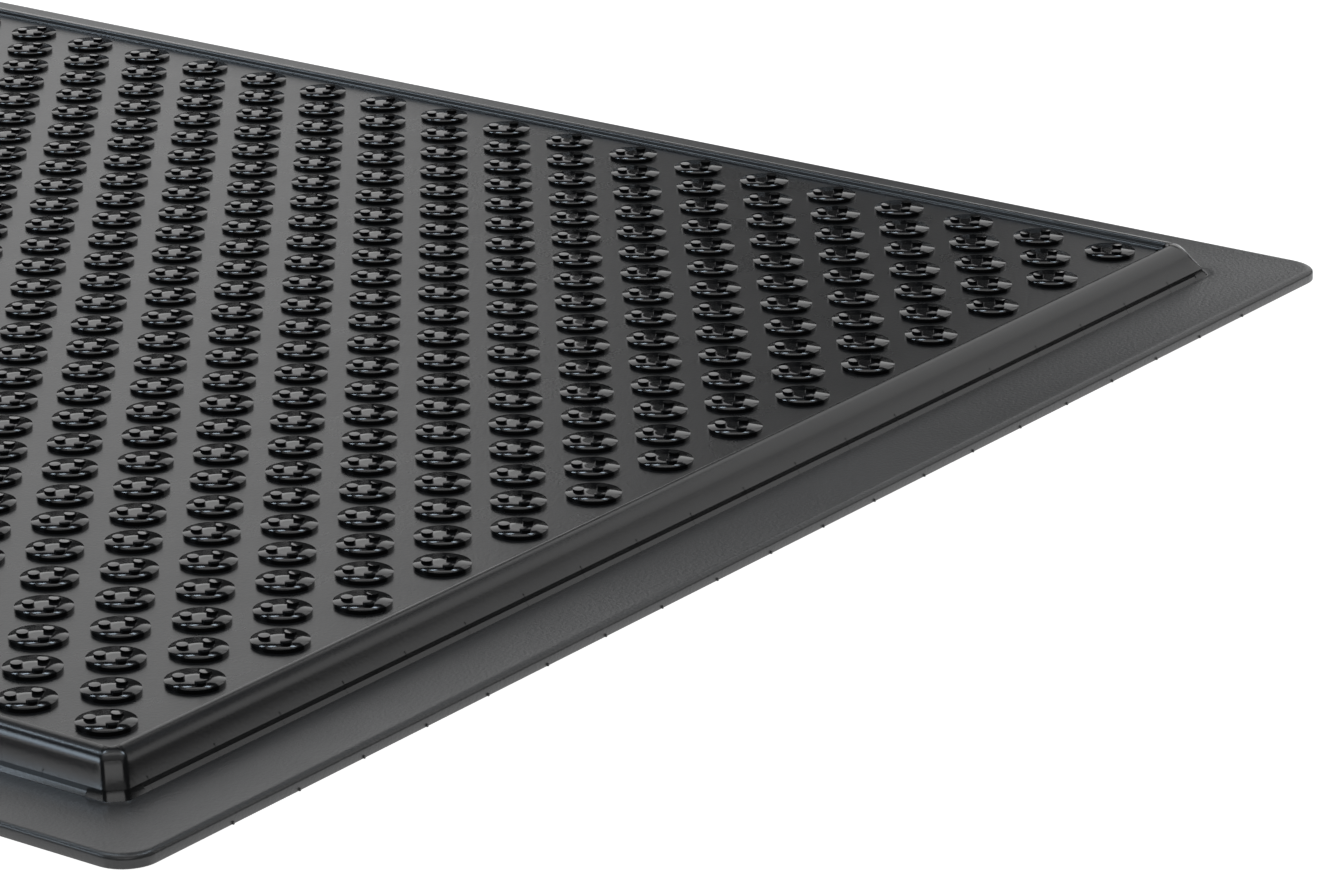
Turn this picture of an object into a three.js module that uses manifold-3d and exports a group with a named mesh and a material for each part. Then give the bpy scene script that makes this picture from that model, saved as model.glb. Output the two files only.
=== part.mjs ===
// A rubber entrance mat, 600 mm across and about 893 mm long, lying on its flat underside.
// A shallow well holds staggered rows of round studs. A low raised rim with a sloping outer wall
// closes the well, and a thin flat flange runs round the outside down on the ground.
//
// The real mat is one moulding. It is split here along its natural lines: the four lengths of the
// flange, the four lengths of the rim wall, and the well floor in strips, one for each line of
// studs that runs the long way of the mat.
//
// Millimetres, +Z up. The origin is on the ground under the middle of the mat. X runs across the
// mat and Y along it. "front" is the side at -Y and "left" is the side at -X.

import * as THREE from "three";
import { mergeVertices } from "three/addons/utils/BufferGeometryUtils.js";
import Module from "manifold-3d";

// Stud pattern: a full row every PITCH_Y, and half-way between two full rows a row of one stud
// less, shifted by half a pitch.
const PITCH_X = 35.55;
const PITCH_Y = 27.25;
const STUDS_ACROSS = 15;
const FULL_ROWS = 30;
const STUD_DIAMETER = 16.4;
const STUD_HEIGHT = 1.1;
const STUD_SIDES = 6;

// Heights above the ground.
const FLOOR_TOP = 11.45;
const RIM_TOP = 13.5;
const FLANGE_TOP = 3.4; // at the foot of the wall
const LIP_TOP = 3.7; // the flange's outer edge is a little thicker

// Distances outwards from the centre line of the outermost studs.
const RIM_INNER_FOOT = 11.4;
const RIM_CREST = 14.9;
const WALL_FOOT = 24.9;
const OUTER_EDGE = 51.15;

const SHOULDER_RADIUS = 6.35; // from the crest down to the wall, which then falls at WALL_SLOPE
const WALL_SLOPE = Math.PI / 3;
const CREST_WIDTH = 1.5; // the small bevel on the crest's inner side
const CREST_DROP = 0.6;
const FACET_FOOT = 0.8; // the steep facet at the wall's foot: heights above the flange
const FACET_TOP = 2.3;
const FACET_WIDTH = 1;
const LIP_RADIUS = 1.6;
const LIP_CUT = 0.3 * LIP_RADIUS; // takes the lip's round in two straight steps
const CORNER_RADIUS = 10;
const CORNER_STEPS = 6;
const GAP = 0.3; // between neighbouring pieces
const WELD = 1e-3; // corners closer than this are one corner

// Half the spread of the stud centres, across and along the mat.
const HALF_X = ((STUDS_ACROSS - 1) * PITCH_X) / 2;
const HALF_Y = ((FULL_ROWS - 1) * PITCH_Y) / 2;

// Cross-sections of the border, as [distance outwards from the outermost studs, height].
const shoulder = [1, 2 / 3, 1 / 3].map((part) => {
  const turned = part * WALL_SLOPE;
  const drop = SHOULDER_RADIUS * (1 - Math.cos(turned));
  return [RIM_CREST + SHOULDER_RADIUS * Math.sin(turned), RIM_TOP - drop];
});
const WALL_SECTION = [
  [RIM_INNER_FOOT, 0],
  [WALL_FOOT - GAP, 0],
  [WALL_FOOT - GAP, FLANGE_TOP + FACET_FOOT],
  [WALL_FOOT - GAP - FACET_WIDTH, FLANGE_TOP + FACET_TOP],
  ...shoulder,
  [RIM_CREST, RIM_TOP],
  [RIM_CREST - CREST_WIDTH, RIM_TOP - CREST_DROP],
  [RIM_INNER_FOOT, FLOOR_TOP],
];
const FLANGE_SECTION = [
  [WALL_FOOT, 0],
  [OUTER_EDGE, 0],
  [OUTER_EDGE, LIP_TOP - LIP_RADIUS],
  [OUTER_EDGE - LIP_CUT, LIP_TOP - LIP_CUT],
  [OUTER_EDGE - LIP_RADIUS, LIP_TOP],
  [WALL_FOOT, FLANGE_TOP],
];

const rubber = new THREE.MeshStandardMaterial({ color: 0x17181a, roughness: 0.35, metalness: 0 });

const wasm = await Module();
wasm.setup();

function toSolid(geometry) {
  const bare = geometry.clone();
  bare.deleteAttribute("normal");
  bare.deleteAttribute("uv");
  const merged = mergeVertices(bare, WELD);
  const vertProperties = merged.attributes.position.array;
  const triVerts = new Uint32Array(merged.index.array);
  return new wasm.Manifold(new wasm.Mesh({ numProp: 3, vertProperties, triVerts }));
}

function toGeometry(solid) {
  const mesh = solid.getMesh();
  const geometry = new THREE.BufferGeometry();
  geometry.setAttribute("position", new THREE.BufferAttribute(mesh.vertProperties, 3));
  geometry.setIndex(new THREE.BufferAttribute(mesh.triVerts, 1));
  geometry.computeVertexNormals();
  return geometry;
}

// A closed length of border along the side at -Y, with ends cut at 45 degrees. halfAlong and
// halfAcross are the stud pattern's half sizes along the length and at right angles to it.
function mitredLength(section, halfAlong, halfAcross) {
  const outline = new THREE.Shape(section.map(([out, height]) => new THREE.Vector2(out, height)));
  const geometry = new THREE.ExtrudeGeometry(outline, { depth: 1, bevelEnabled: false });
  const at = geometry.getAttribute("position");
  for (let i = 0; i < at.count; i++) {
    const out = at.getX(i);
    const height = at.getY(i);
    const end = at.getZ(i) > 0.5 ? -1 : 1;
    at.setXYZ(i, end * (halfAlong + out - GAP), -halfAcross - out, height);
  }
  return geometry;
}

// The whole mat's plan with its rounded corners, as a block taller than the mat.
function roundedPlan() {
  const [x, y, r] = [HALF_X + OUTER_EDGE, HALF_Y + OUTER_EDGE, CORNER_RADIUS];
  const plan = new THREE.Shape();
  plan.absarc(x - r, y - r, r, 0, Math.PI / 2);
  plan.absarc(r - x, y - r, r, Math.PI / 2, Math.PI);
  plan.absarc(r - x, r - y, r, Math.PI, 1.5 * Math.PI);
  plan.absarc(x - r, r - y, r, 1.5 * Math.PI, 2 * Math.PI);
  plan.closePath();
  const depth = 3 * RIM_TOP; // from one rim height below the ground to one above the rim
  const options = { depth, bevelEnabled: false, curveSegments: CORNER_STEPS };
  const block = new THREE.ExtrudeGeometry(plan, options);
  return toSolid(block.translate(0, 0, -RIM_TOP));
}

// The four lengths of one ring of the border, named after their sides.
function borderRing(name, section, trim) {
  const sides = [
    ["front", 0, HALF_X, HALF_Y],
    ["right", Math.PI / 2, HALF_Y, HALF_X],
    ["back", Math.PI, HALF_X, HALF_Y],
    ["left", -Math.PI / 2, HALF_Y, HALF_X],
  ];
  return sides.map(([side, turn, halfAlong, halfAcross]) => {
    let geometry = mitredLength(section, halfAlong, halfAcross).rotateZ(turn);
    if (trim) geometry = toGeometry(toSolid(geometry).intersect(trim));
    const mesh = new THREE.Mesh(geometry, rubber);
    mesh.name = `${name}_${side}`;
    return mesh;
  });
}

// One stud as a low prism, which reaches down into the floor that it stands on.
function studBlock() {
  const corners = [];
  for (let k = 0; k < STUD_SIDES; k++) {
    const turn = (2 * Math.PI * k) / STUD_SIDES;
    const corner = new THREE.Vector2(Math.cos(turn), Math.sin(turn));
    corners.push(corner.multiplyScalar(STUD_DIAMETER / 2));
  }
  const bottom = FLOOR_TOP / 2;
  const depth = FLOOR_TOP + STUD_HEIGHT - bottom;
  const plan = new THREE.Shape(corners);
  return new THREE.ExtrudeGeometry(plan, { depth, bevelEnabled: false }).translate(0, 0, bottom);
}

// One line of studs that runs along the mat, with the strip of floor that it stands on.
function studStrip(index) {
  const count = index % 2 === 0 ? FULL_ROWS : FULL_ROWS - 1;
  const last = 2 * STUDS_ACROSS - 2;
  const centre = (index * PITCH_X) / 2 - HALF_X;
  const toWall = RIM_INNER_FOOT - GAP;
  const left = index === 0 ? -HALF_X - toWall : centre - PITCH_X / 4 + GAP / 2;
  const right = index === last ? HALF_X + toWall : centre + PITCH_X / 4 - GAP / 2;
  const length = 2 * (HALF_Y + toWall);

  const floor = new THREE.BoxGeometry(right - left, length, FLOOR_TOP);
  let strip = toSolid(floor.translate((left + right) / 2, 0, FLOOR_TOP / 2));
  const stud = studBlock().translate(centre, 0, 0);
  for (let row = 0; row < count; row++) {
    const y = (row - (count - 1) / 2) * PITCH_Y;
    strip = strip.add(toSolid(stud.clone().translate(0, y, 0)));
  }
  const mesh = new THREE.Mesh(toGeometry(strip), rubber);
  mesh.name = `stud_strip_${String(index + 1).padStart(2, "0")}`;
  return mesh;
}

const mat = new THREE.Group();
mat.add(...borderRing("flange", FLANGE_SECTION, roundedPlan()));
mat.add(...borderRing("wall", WALL_SECTION, null));
for (let index = 0; index < 2 * STUDS_ACROSS - 1; index++) mat.add(studStrip(index));

export default mat;
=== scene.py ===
"""Looks for a moulded black rubber entrance mat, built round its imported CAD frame.

The mat lies on the ground, centred on the origin, X across it and Y along it, all in metres.
Every visible piece stands for one CAD node and has its name with "_look" after it: the stud
strips, the four lengths of the rim with its outer wall, and the four of the flat flange.
"""

import math

import bpy
import numpy as np
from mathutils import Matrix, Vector


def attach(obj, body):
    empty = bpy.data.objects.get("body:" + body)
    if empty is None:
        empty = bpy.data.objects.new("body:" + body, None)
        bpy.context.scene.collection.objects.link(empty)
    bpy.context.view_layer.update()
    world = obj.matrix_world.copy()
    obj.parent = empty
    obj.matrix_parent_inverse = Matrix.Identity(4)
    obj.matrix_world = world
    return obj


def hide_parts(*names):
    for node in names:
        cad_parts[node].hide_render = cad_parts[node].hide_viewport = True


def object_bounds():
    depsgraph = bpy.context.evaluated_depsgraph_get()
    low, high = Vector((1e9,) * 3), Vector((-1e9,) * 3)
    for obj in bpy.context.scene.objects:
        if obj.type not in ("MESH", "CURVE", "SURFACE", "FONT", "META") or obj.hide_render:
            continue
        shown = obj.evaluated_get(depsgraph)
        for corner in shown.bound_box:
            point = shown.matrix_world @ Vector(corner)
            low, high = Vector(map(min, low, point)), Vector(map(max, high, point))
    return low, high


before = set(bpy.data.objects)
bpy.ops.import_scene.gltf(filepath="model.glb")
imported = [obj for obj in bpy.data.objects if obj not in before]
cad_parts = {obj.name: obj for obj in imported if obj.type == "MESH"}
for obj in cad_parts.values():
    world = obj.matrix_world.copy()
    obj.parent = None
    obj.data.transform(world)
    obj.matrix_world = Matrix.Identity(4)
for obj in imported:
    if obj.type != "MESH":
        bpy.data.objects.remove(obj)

cad_low, cad_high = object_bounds()
MM = 0.001
TINY = 1e-9  # keeps a division away from zero

# ---------------------------------------------------------------- sizes of the well and its studs
PITCH_X = 35.55 * MM
PITCH_Y = 27.25 * MM
STUDS_ACROSS = 15
FULL_ROWS = 30
STRIPS = 2 * STUDS_ACROSS - 1  # one for each line of studs along the mat
HALF_X = (STUDS_ACROSS - 1) * PITCH_X / 2
HALF_Y = (FULL_ROWS - 1) * PITCH_Y / 2

RIM_TOP = cad_high[2]
FLOOR_TOP = RIM_TOP - 2.05 * MM
OUTER_EDGE = cad_high[0] - HALF_X  # from the centre line of the outermost studs

STUD_RADIUS = 8.2 * MM
STUD_HEIGHT = 1.1 * MM
RING_POINTS = 32

PIP_RADIUS = 1.68 * MM
PIP_HEIGHT = 0.93 * MM
PIP_ORBIT = 4.37 * MM
PIP_POINTS = 12
PIPS = 3

# The studs' flat tops shade as if they were domed: the tilt of the shading normals.
FLAT_RADIUS = 2.1 * MM
EDGE_TILT = math.radians(36.6)
PIP_LEAN = 0.65  # how far the pips' tops lean with the dome, from 0 to 1

# ---------------------------------------------------------------- sizes of the border
# Distances are outwards from the outermost studs, heights above the ground.
FLOOR_END = 11.4 * MM
CREST = 14.9 * MM
INNER_SLOPE = math.radians(78)
FOOT_FILLET = 1.3 * MM
CREST_RADIUS = 1.1 * MM
FILLET_STEPS = 8
SHOULDER_RADIUS = 6.35 * MM
SHOULDER_STEPS = 16
WALL_SLOPE = math.radians(60)
WALL_HOLLOW = 0.12 * MM  # how far the wall hangs in, half-way down
WALL_STEPS = 5

# The two facets at the wall's foot. At the corners a plain stretch takes their place.
FACET_TOP = (23.55 * MM, 5.66 * MM)
FACET_MID = (23.98 * MM, 4.40 * MM)
WALL_FOOT = (24.90 * MM, 3.28 * MM)
PLAIN_FOOT_FLARE = 1.2  # 1 would be straight
PLAIN_FOOT_STEPS = 4  # the facets have as many points, so the two join
FACET_END = 14.0 * MM  # the facets stop this far past the last stud, just before the corner
FACET_FADE = 0.3 * MM  # and give way to the plain stretch within this length

# The flange: a groove along the wall, a low swell, and a slow rise to the lip.
FLANGE_TOP = 3.4 * MM
GROOVE_DEPTH = 0.05 * MM
GROOVE_AT = 0.35 * MM  # this and the next two are from the wall's foot
GROOVE_END = 1.0 * MM
SWELL_AT = 2.0 * MM
SWELL_HEIGHT = 0.05 * MM
RISE_PLACES = (0.3, 0.6, 0.8, 0.9, 0.96)  # closer together where it steepens, as parts of 1
RISE_POWER = 3
LIP_TOP = 3.7 * MM
LIP_WIDTH = 2.0 * MM
LIP_DROP = 1.35 * MM
LIP_STEPS = 10
BEVEL_WIDTH = 0.2 * MM  # under the outer edge
BEVEL_HEIGHT = 0.25 * MM

# The plan's corners: a round, a flat chamfer and a round.
CORNER_STEPS = 6  # in each round
CORNER_SHAPES = [
    # (distance out, radius of the rounds, length of the chamfer)
    (FLOOR_END, 1.6 * MM, 0.1 * MM),
    (CREST, 2.6 * MM, 0.3 * MM),
    (CREST + 2.5 * MM, 2.8 * MM, 2.0 * MM),
    (CREST + 5 * MM, 3.0 * MM, 3.4 * MM),
    (WALL_FOOT[0], 3.0 * MM, 3.4 * MM),
    (WALL_FOOT[0] + 3 * MM, 4.0 * MM, 2.0 * MM),
    (OUTER_EDGE - 8 * MM, 7.0 * MM, 0.1 * MM),
    (OUTER_EDGE, 10 * MM, 0.1 * MM),
]
# The front and back lengths run on round the corners and end this far inside the last stud.
CORNER_REACH = 12.0 * MM

# Edges sharper than this are shaded as edges.
WALL_SHARP = math.radians(14)
FLANGE_SHARP = math.radians(40)

# Thin ribs of rubber left by the mould's vents, at even steps along every side: a nib on the
# outer edge, down by the ground, and a very thin flash over the facets.
RIB_STEP = 0.75 * PITCH_X
RIB_START = -0.316 * PITCH_X  # from the first stud
NIB_WIDTH = 0.5 * MM
NIB_ROOT = 0.3 * MM  # how far it reaches into the edge
NIB_REACH = 0.35 * MM  # how far it stands proud
NIB = [
    (OUTER_EDGE - NIB_ROOT, 0.9 * MM), (OUTER_EDGE + NIB_REACH, 0.8 * MM),
    (OUTER_EDGE + NIB_REACH, 0.1 * MM), (OUTER_EDGE - NIB_ROOT, 0.1 * MM),
]
FLASH_WIDTH = 0.10 * MM
FLASH_HEIGHT = 0.035 * MM
FLASH_INWARDS = 0.5 * MM  # its top end, from the top of the facets
FLASH_UPWARDS = 0.85 * MM
FLASH_ROOT = 1 * MM  # how far it reaches into the wall

SIDES = {
    # name: (quarter turns from the front, half length, half width of the stud pattern)
    "front": (0, HALF_X, HALF_Y),
    "right": (1, HALF_Y, HALF_X),
    "back": (2, HALF_X, HALF_Y),
    "left": (3, HALF_Y, HALF_X),
}


# ---------------------------------------------------------------- mesh helpers
def make_mesh(name, points, faces, materials, face_slots, sharp_angle=None):
    """An object from points, a list of face arrays (each an n by k index array) and one slot
    number for each face."""
    mesh = bpy.data.meshes.new(name)
    sizes = np.concatenate([np.full(len(f), f.shape[1], np.int32) for f in faces])
    corners = np.concatenate([f.reshape(-1) for f in faces]).astype(np.int32)
    mesh.vertices.add(len(points))
    mesh.vertices.foreach_set("co", np.asarray(points, np.float32).reshape(-1))
    mesh.loops.add(len(corners))
    mesh.loops.foreach_set("vertex_index", corners)
    mesh.polygons.add(len(sizes))
    mesh.polygons.foreach_set("loop_start", np.concatenate([[0], np.cumsum(sizes)[:-1]]))
    mesh.polygons.foreach_set("material_index", np.asarray(face_slots, np.int32))
    mesh.polygons.foreach_set("use_smooth", np.ones(len(sizes), bool))
    mesh.update(calc_edges=True)
    mesh.validate()
    if sharp_angle is not None:
        mesh.set_sharp_from_angle(angle=sharp_angle)
    for material in materials:
        mesh.materials.append(material)
    piece = bpy.data.objects.new(name + "_look", mesh)
    bpy.context.scene.collection.objects.link(piece)
    return piece


def ring_faces(first, second, count):
    """Quads between two closed rings of count points, whose first points have these indices."""
    here = np.arange(count)
    following = (here + 1) % count
    return np.stack([first + here, first + following, second + following, second + here], axis=1)


# ---------------------------------------------------------------- studs
UP = (0.0, 0.0, 1.0)
FLOOR_SLOT, STUD_SLOT = 0, 1
NO_TRIANGLES = np.empty((0, 3), int)


class Patchwork:
    """Collects points with their normals, and faces with their material slots."""

    def __init__(self):
        self.points, self.normals = [], []
        self.quads, self.quad_slots = [np.empty((0, 4), int)], []
        self.tris, self.tri_slots = [NO_TRIANGLES], []
        self.total = 0

    def add(self, at, part):
        """Adds a part (points, normals, quads, triangles, slot of both), moved to a place."""
        points, normals, quads, tris, slot = part
        self.points.append(points + np.asarray(at))
        self.normals.append(normals)
        self.quads.append(quads + self.total)
        self.tris.append(tris + self.total)
        self.quad_slots.append(np.full(len(quads), slot))
        self.tri_slots.append(np.full(len(tris), slot))
        self.total += len(points)

    def make(self, name, materials):
        """The piece that all the parts make together, shaded by their normals."""
        piece = make_mesh(
            name, np.concatenate(self.points),
            [np.concatenate(self.quads), np.concatenate(self.tris)],
            materials, np.concatenate(self.quad_slots + self.tri_slots),
        )
        normals = np.concatenate(self.normals)
        piece.data.normals_split_custom_set_from_vertices(normals.tolist())
        return piece


def circle(radius, height, count, start=0.0):
    """A ring of points."""
    turn = start + 2 * math.pi * np.arange(count) / count
    return np.column_stack([radius * np.cos(turn), radius * np.sin(turn), np.full(count, height)])


def dome_normals(points, lean_part):
    """Shading normals over a stud, which lean outwards as if its flat top were domed."""
    x, y = points[:, 0], points[:, 1]
    out = np.hypot(x, y)
    tilt = lean_part * EDGE_TILT * np.clip((out - FLAT_RADIUS) / (STUD_RADIUS - FLAT_RADIUS), 0, 1)
    lean = np.sin(tilt) / np.maximum(out, TINY)
    return np.column_stack([lean * x, lean * y, np.cos(tilt)])


def floor_cell(x0, x1, y0, y1):
    """A rectangle of floor round the origin, with a round hole for the stud."""
    n = RING_POINTS
    corners = np.array([(x1, y0), (x1, y1), (x0, y1), (x0, y0), (x1, y0)])
    edge = np.concatenate([
        np.linspace(start, end, n // 4, endpoint=False)
        for start, end in zip(corners[:-1], corners[1:])
    ])
    hole = circle(STUD_RADIUS, 0, n, start=-math.pi / 4)  # starts towards the first corner
    points = np.concatenate([np.column_stack([edge, np.zeros(n)]), hole])
    return points, np.tile(UP, (2 * n, 1)), ring_faces(0, n, n), NO_TRIANGLES, FLOOR_SLOT


def pillar(centre, radii, foot, top, count, lean_part):
    """A round pillar on a stud, with a flat top that has a ring of points at each radius. Its
    centre in plan is measured from the stud's own."""
    shift = np.array([*centre, 0])
    side = [circle(radii[0], height, count) + shift for height in (foot, top)]
    outwards = circle(1, 0, count)
    cap = [circle(radius, top, count) + shift for radius in radii]
    cap.append(np.array([[*centre, top]]))
    cap = np.concatenate(cap)
    points = np.concatenate([*side, cap])
    normals = np.concatenate([outwards, outwards, dome_normals(cap, lean_part)])
    quads = [ring_faces(0, count, count)]
    quads += [ring_faces((k + 2) * count, (k + 3) * count, count) for k in range(len(radii) - 1)]
    inner_ring = (len(radii) + 1) * count
    k = np.arange(count)
    middle_point = np.full(count, inner_ring + count)
    tris = np.stack([inner_ring + k, inner_ring + (k + 1) % count, middle_point], 1)
    return points, normals, np.concatenate(quads), tris, STUD_SLOT


def plain_floor(x0, x1, y0, y1, parts):
    """A bare rectangle of floor, cut into parts along its width at both ends."""
    x = np.linspace(x0, x1, parts + 1)
    points = np.concatenate([
        np.column_stack([x, np.full(parts + 1, y), np.zeros(parts + 1)]) for y in (y0, y1)
    ])
    k = np.arange(parts)
    quads = np.stack([k, k + 1, parts + 2 + k, parts + 1 + k], 1)
    return points, np.tile(UP, (len(points), 1)), quads, NO_TRIANGLES, FLOOR_SLOT


def body(x0, x1, y0, y1, bottom, top):
    """The sides and the bottom of a block."""
    plan = [(x0, y0), (x1, y0), (x1, y1), (x0, y1)]
    outwards = [(0, -1, 0), (1, 0, 0), (0, 1, 0), (-1, 0, 0)]
    points, normals = [], []
    for k, direction in enumerate(outwards):
        (xa, ya), (xb, yb) = plan[k], plan[(k + 1) % 4]
        points += [(xa, ya, bottom), (xb, yb, bottom), (xb, yb, top), (xa, ya, top)]
        normals += [direction] * 4
    points += [(x, y, bottom) for x, y in reversed(plan)]
    normals += [(0, 0, -1)] * 4
    quads = np.arange(len(points)).reshape(-1, 4)
    return np.array(points), np.array(normals, float), quads, NO_TRIANGLES, FLOOR_SLOT


def stud_parts():
    """One stud and the pips on it."""
    parts = [pillar((0, 0), (STUD_RADIUS, FLAT_RADIUS), 0, STUD_HEIGHT, RING_POINTS, 1)]
    pip_top = STUD_HEIGHT + PIP_HEIGHT
    for k in range(PIPS):
        turn = 2 * math.pi * k / PIPS
        centre = (PIP_ORBIT * math.cos(turn), PIP_ORBIT * math.sin(turn))
        parts.append(pillar(centre, (PIP_RADIUS,), STUD_HEIGHT, pip_top, PIP_POINTS, PIP_LEAN))
    return parts


def stud_strip(index, materials):
    """A strip of floor with its line of studs, closed underneath."""
    full = index % 2 == 0
    count = FULL_ROWS if full else FULL_ROWS - 1
    centre = index * PITCH_X / 2 - HALF_X
    x0 = -FLOOR_END if index == 0 else -PITCH_X / 4
    x1 = FLOOR_END if index == STRIPS - 1 else PITCH_X / 4
    reach = HALF_Y + FLOOR_END
    stud = stud_parts()

    work = Patchwork()
    for row in range(count):
        y = (row - (count - 1) / 2) * PITCH_Y
        y0 = -FLOOR_END if full and row == 0 else -PITCH_Y / 2
        y1 = FLOOR_END if full and row == count - 1 else PITCH_Y / 2
        for part in [floor_cell(x0, x1, y0, y1)] + stud:
            work.add((centre, y, FLOOR_TOP), part)
    if not full:
        for y0, y1 in ((-reach, -HALF_Y), (HALF_Y, reach)):
            work.add((centre, 0, FLOOR_TOP), plain_floor(x0, x1, y0, y1, RING_POINTS // 4))
    work.add((centre, 0, 0), body(x0, x1, -reach, reach, 0, FLOOR_TOP))
    return work.make(f"stud_strip_{index + 1:02d}", materials)


# ---------------------------------------------------------------- border cross-sections
def arc(x, z, radius, start, end, steps):
    """Points of a cross-section's arc whose surface tilts from start to end, the first at (x, z).
    Tilts are positive where the surface falls outwards."""
    sign = 1 if end > start else -1
    out = []
    for k in range(steps + 1):
        tilt = start + (end - start) * k / steps
        out.append((
            x + sign * radius * (math.sin(tilt) - math.sin(start)),
            z + sign * radius * (math.cos(tilt) - math.cos(start)),
        ))
    return out


def halfway(a, b):
    """The point in the middle between two points."""
    return ((a[0] + b[0]) / 2, (a[1] + b[1]) / 2)


def even_parts(count):
    """Even steps from 0, which is left out, to 1."""
    return [k / count for k in range(1, count + 1)]


def inner_side():
    """The rim's inner side, from the floor to the crest: a fillet, a slope and a round."""
    drop = 1 - math.cos(INNER_SLOPE)
    rise = FOOT_FILLET * drop + CREST_RADIUS * drop
    straight = (RIM_TOP - FLOOR_TOP - rise) / math.tan(INNER_SLOPE)
    width = (FOOT_FILLET + CREST_RADIUS) * math.sin(INNER_SLOPE) + straight
    slope_end = (CREST - CREST_RADIUS * math.sin(INNER_SLOPE), RIM_TOP - CREST_RADIUS * drop)
    fillet = arc(CREST - width, FLOOR_TOP, FOOT_FILLET, 0, -INNER_SLOPE, FILLET_STEPS)
    return [(FLOOR_END, FLOOR_TOP)] + fillet + arc(
        *slope_end, CREST_RADIUS, -INNER_SLOPE, 0, FILLET_STEPS
    )


def wall_face(top):
    """The wall's slope, from its top down to the facets."""
    out = []
    for t in even_parts(WALL_STEPS):
        sag = WALL_HOLLOW * 4 * t * (1 - t)
        out.append((
            top[0] + (FACET_TOP[0] - top[0]) * t - sag * math.sin(WALL_SLOPE),
            top[1] + (FACET_TOP[1] - top[1]) * t - sag * math.cos(WALL_SLOPE),
        ))
    return out


def wall_foot(facets):
    """The foot of the wall, with its two facets or plain."""
    if facets:
        return [halfway(FACET_TOP, FACET_MID), FACET_MID, halfway(FACET_MID, WALL_FOOT), WALL_FOOT]
    return [
        (FACET_TOP[0] + (WALL_FOOT[0] - FACET_TOP[0]) * t**PLAIN_FOOT_FLARE,
         FACET_TOP[1] + (WALL_FOOT[1] - FACET_TOP[1]) * t)
        for t in even_parts(PLAIN_FOOT_STEPS)
    ]


def rim_section(facets):
    """The rim and wall from the floor outwards, with or without the two facets at its foot."""
    out = inner_side()
    out += arc(CREST, RIM_TOP, SHOULDER_RADIUS, 0, WALL_SLOPE, SHOULDER_STEPS)[1:]
    return out + wall_face(out[-1]) + wall_foot(facets)


def flange_section():
    """The flange from the wall's foot to the outer edge and down to the ground."""
    foot, foot_height = WALL_FOOT
    swell = foot + SWELL_AT
    lip = OUTER_EDGE - LIP_WIDTH
    out = [
        WALL_FOOT,
        (foot + GROOVE_AT, foot_height - GROOVE_DEPTH),
        (foot + GROOVE_END, FLANGE_TOP),
        (swell, FLANGE_TOP + SWELL_HEIGHT),
    ]
    for t in RISE_PLACES:
        ease = t**RISE_POWER
        out.append((
            swell + (lip - foot - SWELL_AT) * t,
            FLANGE_TOP + (LIP_TOP - FLANGE_TOP) * ease,
        ))
    for k in range(LIP_STEPS + 1):
        turn = k / LIP_STEPS * math.pi / 2
        out.append((lip + LIP_WIDTH * math.sin(turn), LIP_TOP - LIP_DROP * (1 - math.cos(turn))))
    return out + [(OUTER_EDGE, BEVEL_HEIGHT), (OUTER_EDGE - BEVEL_WIDTH, 0)]


def flash_outline():
    """The flash over the facets at the wall's foot."""
    top = (FACET_TOP[0] - FLASH_INWARDS, FACET_TOP[1] + FLASH_UPWARDS)
    line = [top, FACET_TOP, FACET_MID, WALL_FOOT]
    proud = [(out + FLASH_HEIGHT, z + FLASH_HEIGHT / 2) for out, z in line]
    return proud + [(WALL_FOOT[0] - FLASH_ROOT, WALL_FOOT[1]), (top[0] - FLASH_ROOT, top[1])]


# ---------------------------------------------------------------- border in plan
# A station is a function from a distance out to a point in plan.
def turned(point, quarters):
    """A point in plan, turned about the origin."""
    x, y = point
    for _ in range(quarters):
        x, y = -y, x
    return x, y


def side_point(side, along, out):
    """A point beside one side's stud row, at a place along it and a distance out, in plan."""
    quarters, _, across = SIDES[side]
    return turned((along, -across - out), quarters)


def straight_station(side, along):
    """A station at a place along a side."""
    return lambda out: side_point(side, along, out)


def corner_shape(out):
    """(radius of the rounds, length of the chamfer) of the plan's corner, at a distance out."""
    distances, radii, chamfers = zip(*CORNER_SHAPES)
    return np.interp(out, distances, radii), np.interp(out, distances, chamfers)


def corner_points(out):
    """The plan's corner at a distance out, from side -Y round to side +X, as offsets from the
    sharp corner."""
    radius, chamfer = corner_shape(out)
    round_turn = math.pi / 4  # each round makes half of the corner
    tangent = radius * math.tan(round_turn / 2)
    cut = (chamfer + 2 * tangent) / math.sqrt(2)
    start = Vector((-(cut + tangent), 0))
    centre = start + Vector((0, radius))
    points = []
    for k in range(CORNER_STEPS + 1):
        turn = round_turn * k / CORNER_STEPS
        points.append(centre + Vector((math.sin(turn), -math.cos(turn))) * radius)
    other = [Vector((-p.y, -p.x)) for p in reversed(points)]
    return [(p.x, p.y) for p in points + other]


def corner_station(side, step):
    """A station at one step round the corner at the end of a side."""
    quarters, half, across = SIDES[side]

    def station(out):
        dx, dy = corner_points(out)[step]
        return turned((half + out + dx, -across - out + dy), quarters)

    return station


def corner_stations(side, following):
    """The stations from the end of one side round to the start of the next, with whether the
    wall has its facets there."""
    end, start = SIDES[side][1], -SIDES[following][1]
    made = [
        (straight_station(side, end - CORNER_REACH), True),
        (straight_station(side, end + FACET_END - FACET_FADE), True),
        (straight_station(side, end + FACET_END), False),
    ]
    made += [(corner_station(side, step), False) for step in range(2 * (CORNER_STEPS + 1))]
    made += [
        (straight_station(following, start - FACET_END), False),
        (straight_station(following, start - FACET_END + FACET_FADE), True),
        (straight_station(following, start + CORNER_REACH), True),
    ]
    return made


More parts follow.
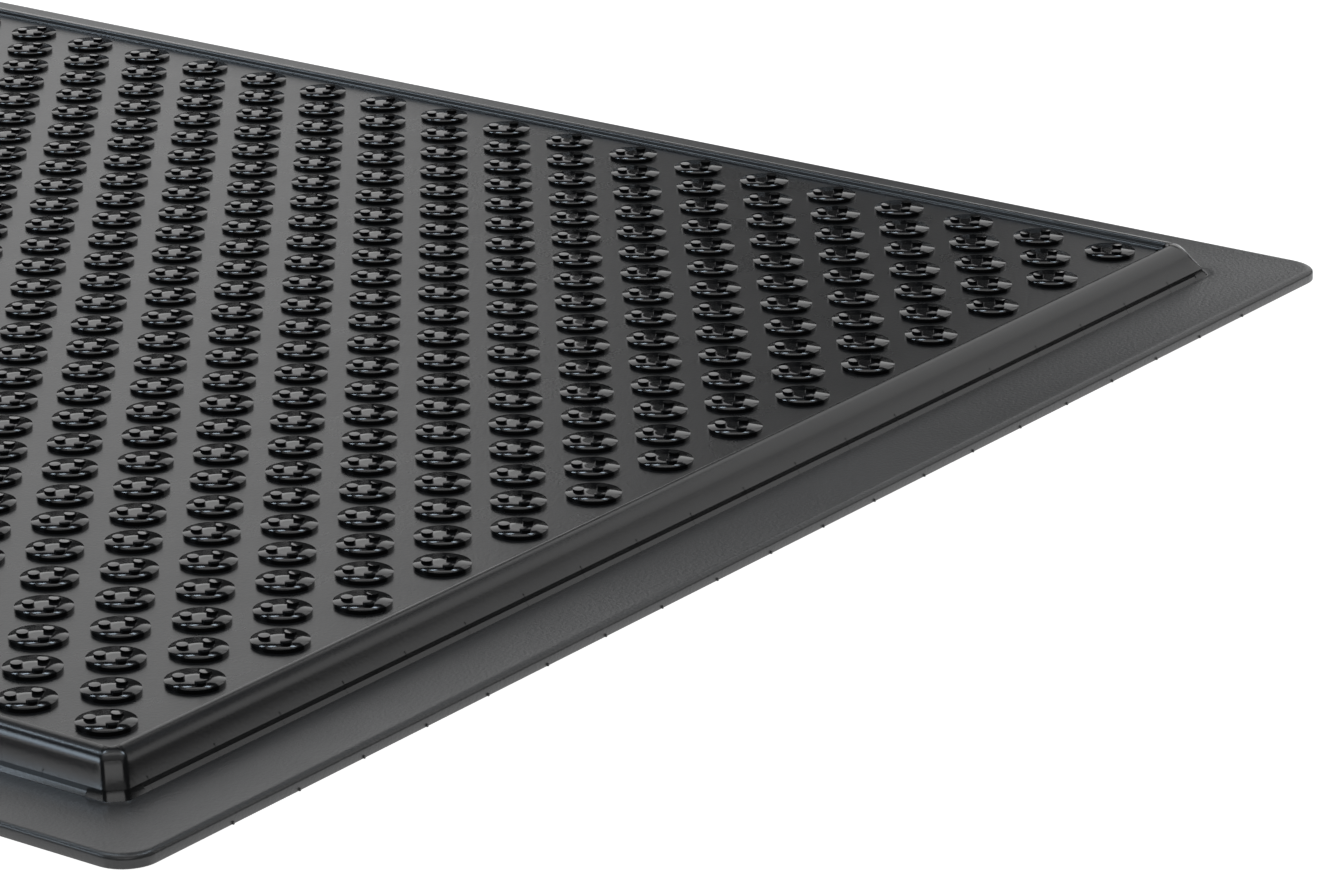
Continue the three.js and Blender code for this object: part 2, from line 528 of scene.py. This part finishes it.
def border_stations(side):
    """The stations of one length of border. The front and back lengths hold the corners."""
    order = list(SIDES)
    at = order.index(side)
    if side in ("front", "back"):
        before = corner_stations(order[at - 1], side)
        return before + corner_stations(side, order[(at + 1) % len(order)])
    half = SIDES[side][1]
    return [(straight_station(side, along), True)
            for along in (CORNER_REACH - half, half - CORNER_REACH)]


# ---------------------------------------------------------------- border pieces
def shell(columns):
    """A closed shell through columns of points: its points, quads, and two end faces."""
    rows = len(columns[0])
    points = np.array(columns).reshape(-1, 3)
    quads = []
    for c in range(len(columns) - 1):
        here = c * rows + np.arange(rows)
        following = c * rows + (np.arange(rows) + 1) % rows
        quads.append(np.stack([here, following, following + rows, here + rows], 1))
    first = np.arange(rows)[::-1][None, :]
    last = (np.arange(rows) + (len(columns) - 1) * rows)[None, :]
    return points, [np.concatenate(quads), first, last]


def sweep(name, sections, stations, ribs, material, sharp_angle):
    """A closed piece of border with a cross-section at each station. The ribs are shells that
    stand on it."""
    columns = [
        [(*station(out), z) for out, z in section]
        for station, section in zip(stations, sections)
    ]
    points, faces = [], []
    total = 0
    for part, part_faces in [shell(columns)] + ribs:
        points.append(part)
        faces += [face + total for face in part_faces]
        total += len(part)
    slots = np.zeros(sum(len(face) for face in faces))
    return make_mesh(name, np.concatenate(points), faces, [material], slots, sharp_angle)


def rib_shells(side, outline, width):
    """One rib of an outline at each step along a side."""
    half = SIDES[side][1]
    made = []
    along = RIB_START - half
    while along < half + FACET_END:
        made.append(shell([
            [(*side_point(side, along + shift, out), z) for out, z in outline]
            for shift in (-width / 2, width / 2)
        ]))
        along += RIB_STEP
    return made


def border(wall_material, flange_material):
    """The rim with its wall and the flange, each in four lengths."""
    made = []
    under_wall = [(WALL_FOOT[0], 0), (FLOOR_END, 0)]
    faceted = rim_section(True) + under_wall
    plain = rim_section(False) + under_wall
    flange = flange_section() + [(WALL_FOOT[0], 0)]
    for side in SIDES:
        stations, has_facets = zip(*border_stations(side))
        made.append(sweep(
            f"wall_{side}", [faceted if has else plain for has in has_facets], stations,
            rib_shells(side, flash_outline(), FLASH_WIDTH), wall_material, WALL_SHARP,
        ))
        made.append(sweep(
            f"flange_{side}", [flange] * len(stations), stations,
            rib_shells(side, NIB, NIB_WIDTH), flange_material, FLANGE_SHARP,
        ))
    return made


# ---------------------------------------------------------------- materials
RUBBER_IOR = 1.5
CLOUD_SCALE, CLOUD_DETAIL = 9, 5  # scales are per metre
CLOUD_TONES = ((0.3, 0.85), (0.7, 1.15))  # (value of the noise, brightness of the colour there)
GLOSS_SCALE, GLOSS_DETAIL = 60, 4
GRAIN_DETAIL = 2
GRAIN_DEPTH = 0.1 * MM


def noise(tree, place, scale, detail):
    """The output of a noise over the object's own coordinates."""
    node = tree.nodes.new("ShaderNodeTexNoise")
    node.inputs["Scale"].default_value = scale
    node.inputs["Detail"].default_value = detail
    tree.links.new(place.outputs["Object"], node.inputs["Vector"])
    return node.outputs["Fac"]


def rubber(name, colour, roughness, spread, grain, grain_scale):
    """Black moulded rubber: its grain, faint clouding and changes of gloss come from noise. The
    roughness varies by the spread, and grain is the strength of the bump."""
    material = bpy.data.materials.new(name)
    material.use_nodes = True
    tree = material.node_tree
    nodes, links = tree.nodes, tree.links
    shader = nodes["Principled BSDF"]
    shader.inputs["IOR"].default_value = RUBBER_IOR
    place = nodes.new("ShaderNodeTexCoord")

    tone = nodes.new("ShaderNodeValToRGB")
    for element, (position, brightness) in zip(tone.color_ramp.elements, CLOUD_TONES):
        element.position = position
        element.color = (*[c * brightness for c in colour], 1)
    links.new(noise(tree, place, CLOUD_SCALE, CLOUD_DETAIL), tone.inputs["Fac"])
    links.new(tone.outputs["Color"], shader.inputs["Base Color"])

    gloss = nodes.new("ShaderNodeMapRange")
    gloss.inputs["To Min"].default_value = roughness - spread
    gloss.inputs["To Max"].default_value = roughness + spread
    links.new(noise(tree, place, GLOSS_SCALE, GLOSS_DETAIL), gloss.inputs["Value"])
    links.new(gloss.outputs["Result"], shader.inputs["Roughness"])

    bump = nodes.new("ShaderNodeBump")
    bump.inputs["Strength"].default_value = grain
    bump.inputs["Distance"].default_value = GRAIN_DEPTH
    links.new(noise(tree, place, grain_scale, GRAIN_DETAIL), bump.inputs["Height"])
    links.new(bump.outputs["Normal"], shader.inputs["Normal"])
    return material


BLACK = (0.008, 0.0082, 0.0088)
GREY = (0.032, 0.032, 0.0325)
floor_rubber = rubber(
    "rubber_floor", BLACK, roughness=0.28, spread=0.03, grain=0.4, grain_scale=1100
)
stud_rubber = rubber(
    "rubber_stud", BLACK, roughness=0.11, spread=0.02, grain=0.02, grain_scale=1200
)
wall_rubber = rubber(
    "rubber_wall", BLACK, roughness=0.21, spread=0.03, grain=0.15, grain_scale=1000
)
flange_rubber = rubber(
    "rubber_flange", GREY, roughness=0.31, spread=0.03, grain=0.8, grain_scale=900
)


# ---------------------------------------------------------------- the mat
pieces = [stud_strip(index, [floor_rubber, stud_rubber]) for index in range(STRIPS)]
pieces += border(wall_rubber, flange_rubber)
for piece in pieces:
    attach(piece, "root")
    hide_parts(piece.name.removesuffix("_look"))


# ---------------------------------------------------------------- camera, stage and light
# The camera looks along this azimuth, down at this angle, with a long lens. Angles in degrees.
VIEW_AZIMUTH = 35.48
VIEW_DOWN = 19.288
LENS = 155.94
SENSOR_WIDTH = 36
CLIP_START, CLIP_END = 0.05, 100
TARGET_TO_CAMERA = 47.56 * PITCH_X
# What it looks at, from the first stud of the front row and above the floor of the well.
TARGET_ACROSS = 7.449 * PITCH_X
TARGET_ALONG = 0.356 * PITCH_X
TARGET_UP = 0.57 * MM
TARGET = Vector((-HALF_X + TARGET_ACROSS, -HALF_Y + TARGET_ALONG, FLOOR_TOP + TARGET_UP))

STAGE_REACH = 30.0
STAGE_DROP = 0.05 * MM  # keeps it clear of the mat's underside
STAGE_TONE = 0.4
STAGE_ROUGHNESS = 0.9
STAGE_GLOW = 0.95

WHITE = (1, 1, 1, 1)
WORLD_STRENGTH = 0.03
COOL = (0.72, 0.86, 1.0)
PLAIN = (1.0, 1.0, 1.0)
LIGHTS = [
    # (name, azimuth, elevation, distance, width, height, brightness, colour)
    ("back_left", 56, 21, 12.0, 7.9, 7.8, 1.03, PLAIN),
    ("back_right", 19, 21, 12.0, 4.3, 7.8, 0.95, PLAIN),
    ("right_fill", -17, 28, 12.0, 9.0, 6.5, 1.1, PLAIN),
    ("left_fill", 138, 31, 12.0, 4.0, 1.6, 1.7, PLAIN),
    ("left_low", 145, 8, 12.0, 4.0, 2.0, 1.1, COOL),
    ("left_key", 126, 41, 12.0, 3.6, 2.2, 7, COOL),
    ("front_fill", 218, 56, 12.0, 7.0, 4.5, 1.7, PLAIN),
    ("key_left", 86, 49, 12.0, 1.3, 1.5, 9, COOL),
    ("key_high", 66, 60, 12.0, 2.4, 1.4, 9, COOL),
    ("key_right", 0, 61, 12.0, 2.3, 1.4, 9, COOL),
    ("overhead", 38, 77, 12.0, 7.0, 2.2, 1.4, PLAIN),
    ("overhead_dim", 35, 82, 13.5, 13.0, 12.0, 0.5, PLAIN),
]


def towards(azimuth, elevation):
    """The direction at an azimuth, from +X towards +Y, and an elevation."""
    a, e = math.radians(azimuth), math.radians(elevation)
    return Vector((math.cos(e) * math.cos(a), math.cos(e) * math.sin(a), math.sin(e)))


def add_camera():
    """The camera, which the scene then uses."""
    ahead = towards(VIEW_AZIMUTH, -VIEW_DOWN)
    data = bpy.data.cameras.new("camera")
    data.lens = LENS
    data.sensor_width = SENSOR_WIDTH
    data.clip_start, data.clip_end = CLIP_START, CLIP_END
    camera = bpy.data.objects.new("camera", data)
    camera.location = TARGET - ahead * TARGET_TO_CAMERA
    camera.rotation_euler = ahead.to_track_quat("-Z", "Y").to_euler()
    bpy.context.scene.collection.objects.link(camera)
    bpy.context.scene.camera = camera


def stage_floor():
    """A pale floor, far wider than the view."""
    reach = STAGE_REACH
    corners = [(-reach, -reach, 0), (reach, -reach, 0), (reach, reach, 0), (-reach, reach, 0)]
    mesh = bpy.data.meshes.new("studio_floor")
    mesh.from_pydata(corners, [], [(0, 1, 2, 3)])
    floor = bpy.data.objects.new("studio_floor", mesh)
    floor.location.z = -STAGE_DROP
    bpy.context.scene.collection.objects.link(floor)
    material = bpy.data.materials.new("studio_floor")
    material.use_nodes = True
    shader = material.node_tree.nodes["Principled BSDF"]
    shader.inputs["Base Color"].default_value = (STAGE_TONE, STAGE_TONE, STAGE_TONE, 1)
    shader.inputs["Roughness"].default_value = STAGE_ROUGHNESS
    shader.inputs["Emission Color"].default_value = WHITE
    shader.inputs["Emission Strength"].default_value = STAGE_GLOW
    mesh.materials.append(material)


def softbox(name, azimuth, elevation, distance, width, height, brightness, colour):
    """An area lamp that faces the camera's target."""
    lamp = bpy.data.lights.new(name, "AREA")
    lamp.shape = "RECTANGLE"
    lamp.size, lamp.size_y = width, height
    lamp.energy = brightness * width * height * math.pi
    lamp.color = colour
    box = bpy.data.objects.new(name, lamp)
    away = towards(azimuth, elevation)
    box.location = TARGET + away * distance
    box.rotation_euler = away.to_track_quat("Z", "Y").to_euler()
    bpy.context.scene.collection.objects.link(box)


def add_light():
    """A faint even light from all round, and the softboxes."""
    world = bpy.data.worlds.new("studio")
    world.use_nodes = True
    back = world.node_tree.nodes["Background"]
    back.inputs["Color"].default_value = WHITE
    back.inputs["Strength"].default_value = WORLD_STRENGTH
    bpy.context.scene.world = world
    for light in LIGHTS:
        softbox(*light)


add_camera()
stage_floor()
add_light()
bpy.context.scene.view_settings.view_transform = "Standard"
